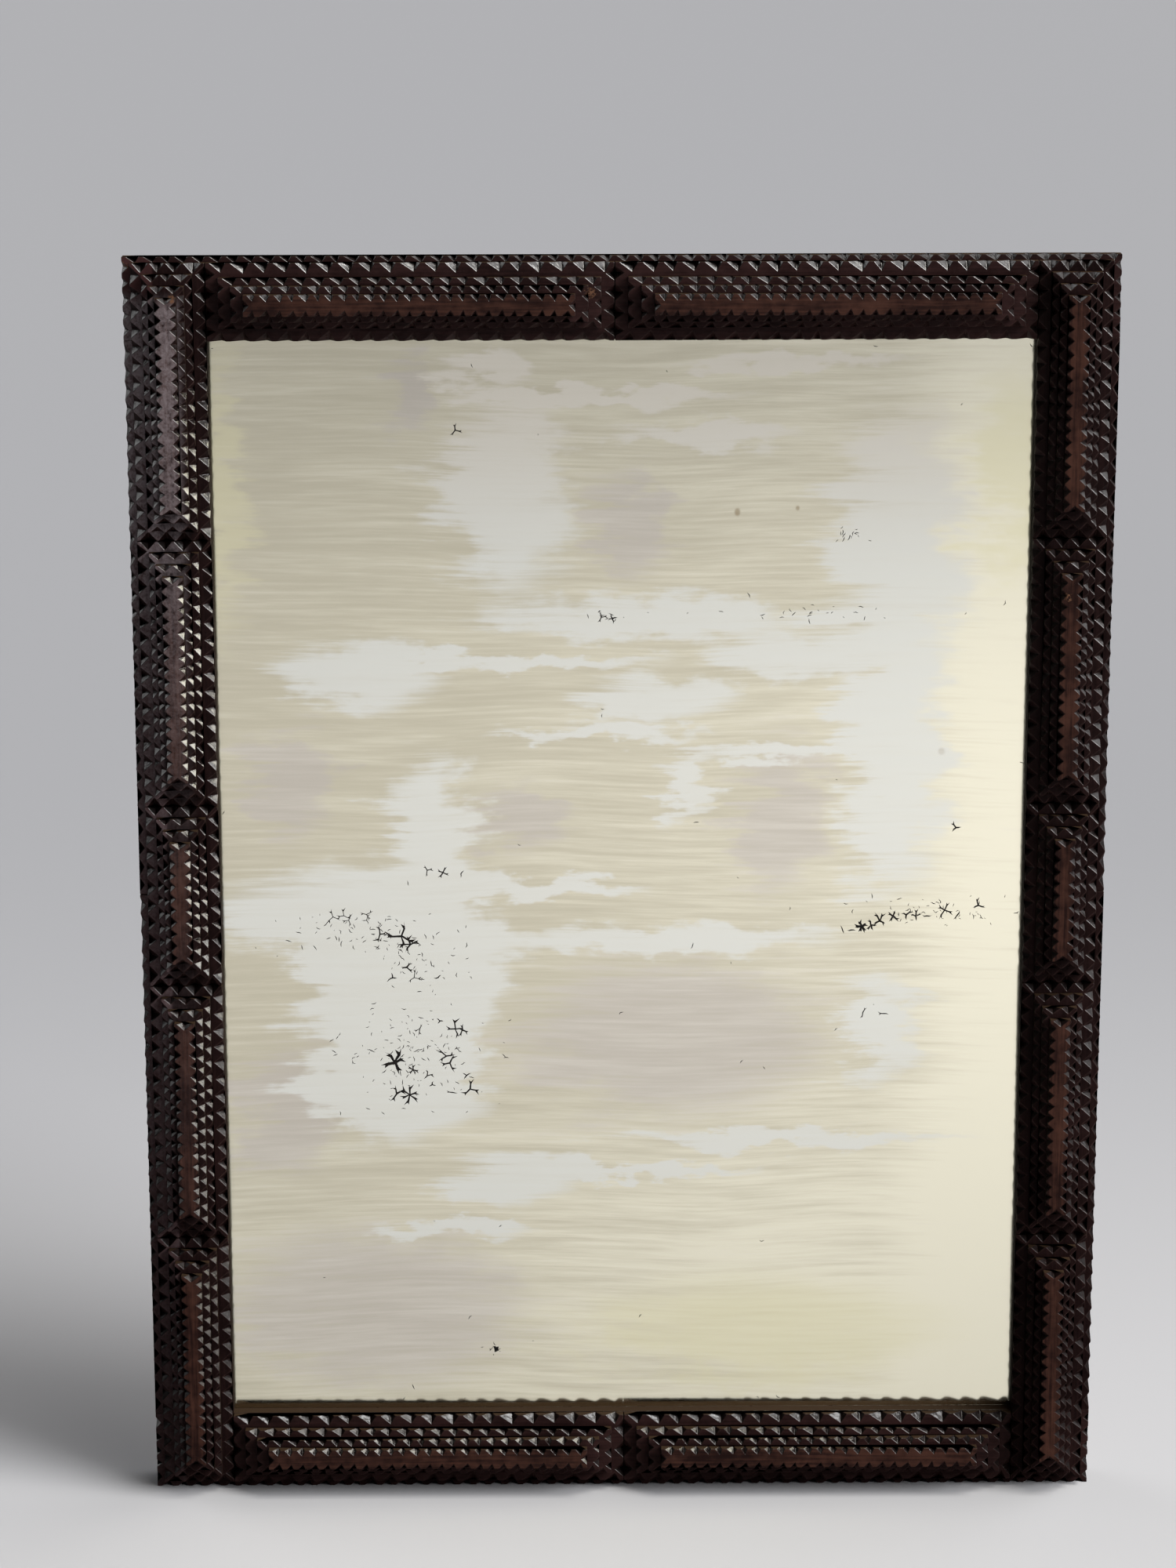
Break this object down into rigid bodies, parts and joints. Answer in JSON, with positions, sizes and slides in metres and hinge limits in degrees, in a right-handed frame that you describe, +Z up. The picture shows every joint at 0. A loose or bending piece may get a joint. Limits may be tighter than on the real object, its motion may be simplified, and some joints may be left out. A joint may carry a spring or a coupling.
{
  "type": "tramp art mirror frame",
  "caption": "Wall mirror in a tramp art frame: stepped stacks of dark notch-carved slats on a board frame around an old foxed mirror plate, hung from a nail by a strap let into the back.",
  "frame": {"origin": "centre of the hanger's nail hole at the wall's face", "axes": "+X to the right seen from the front, +Y into the wall, +Z up; the carved front faces -Y"},
  "size_m": [0.4, 0.0337, 0.528],
  "materials": {
    "stained_wood": "dark brown stain under old worn shellac, satin",
    "back_wood": "unfinished softwood, darkened with age",
    "backing_wood": "unfinished thin board, darkened with age",
    "mirror": "old silvered glass, foxed and crazed",
    "iron": "darkened iron with a trace of rust"
  },
  "bodies": {
    "root": {"left_1_foot": "stained_wood", "left_1_second": "stained_wood", "left_1_crown": "stained_wood", "left_2_foot": "stained_wood", "left_2_second": "stained_wood", "left_2_crown": "stained_wood", "left_3_foot": "stained_wood", "left_3_second": "stained_wood", "left_3_crown": "stained_wood", "left_4_foot": "stained_wood", "left_4_second": "stained_wood", "left_4_crown": "stained_wood", "left_5_foot": "stained_wood", "left_5_second": "stained_wood", "left_5_crown": "stained_wood", "right_1_foot": "stained_wood", "right_1_second": "stained_wood", "right_1_crown": "stained_wood", "right_2_foot": "stained_wood", "right_2_second": "stained_wood", "right_2_crown": "stained_wood", "right_3_foot": "stained_wood", "right_3_second": "stained_wood", "right_3_crown": "stained_wood", "right_4_foot": "stained_wood", "right_4_second": "stained_wood", "right_4_crown": "stained_wood", "right_5_foot": "stained_wood", "right_5_second": "stained_wood", "right_5_crown": "stained_wood", "top_1_foot": "stained_wood", "top_1_second": "stained_wood", "top_1_crown": "stained_wood", "top_2_foot": "stained_wood", "top_2_second": "stained_wood", "top_2_crown": "stained_wood", "bottom_1_foot": "stained_wood", "bottom_1_second": "stained_wood", "bottom_1_crown": "stained_wood", "bottom_2_foot": "stained_wood", "bottom_2_second": "stained_wood", "bottom_2_crown": "stained_wood", "base_top": "stained_wood", "base_bottom": "stained_wood", "base_left_upper": "stained_wood", "base_left_lower": "stained_wood", "base_right_upper": "stained_wood", "base_right_lower": "stained_wood", "back_stile_left": "back_wood", "back_stile_right": "back_wood", "back_rail_top": "back_wood", "back_rail_bottom": "back_wood", "mirror_plate": "mirror", "backing_board": "backing_wood", "backing_brads": "iron", "hanger_strap": "iron", "hanger_screws": "iron"}
  },
  "joints": []
}
